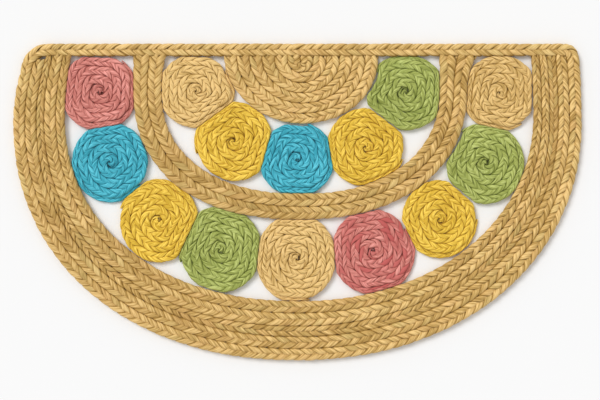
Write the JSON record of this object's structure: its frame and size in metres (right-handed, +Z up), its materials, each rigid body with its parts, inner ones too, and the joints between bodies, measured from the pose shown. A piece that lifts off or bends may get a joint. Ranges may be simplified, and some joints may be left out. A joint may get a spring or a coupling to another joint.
{
  "type": "half-round braided jute doormat",
  "caption": "Half-round braided jute doormat: a border and an inner arch of sewn braid rows, with coloured round coils and a half-round between them.",
  "frame": {"origin": "middle of the mat's footprint, on the floor", "axes": "+X along the straight edge, +Y towards the straight edge, +Z up out of the mat"},
  "size_m": [0.6995, 0.3897, 0.0095],
  "materials": {
    "natural_jute": "undyed braided jute, matt with a slight fibre sheen",
    "yellow_jute": "dyed braided jute, matt",
    "blue_jute": "dyed braided jute, matt",
    "green_jute": "dyed braided jute, matt",
    "rose_jute": "dyed braided jute, matt"
  },
  "bodies": {
    "root": {"edge_braid": "natural_jute", "border_row_1": "natural_jute", "border_row_2": "natural_jute", "border_row_3": "natural_jute", "border_row_4": "natural_jute", "arch_row_1": "natural_jute", "arch_row_2": "natural_jute", "half_round": "natural_jute", "coil_outer_1": "rose_jute", "coil_outer_2": "blue_jute", "coil_outer_3": "yellow_jute", "coil_outer_4": "green_jute", "coil_outer_5": "natural_jute", "coil_outer_6": "rose_jute", "coil_outer_7": "yellow_jute", "coil_outer_8": "green_jute", "coil_outer_9": "natural_jute", "coil_inner_1": "natural_jute", "coil_inner_2": "yellow_jute", "coil_inner_3": "blue_jute", "coil_inner_4": "yellow_jute", "coil_inner_5": "green_jute"}
  },
  "joints": []
}
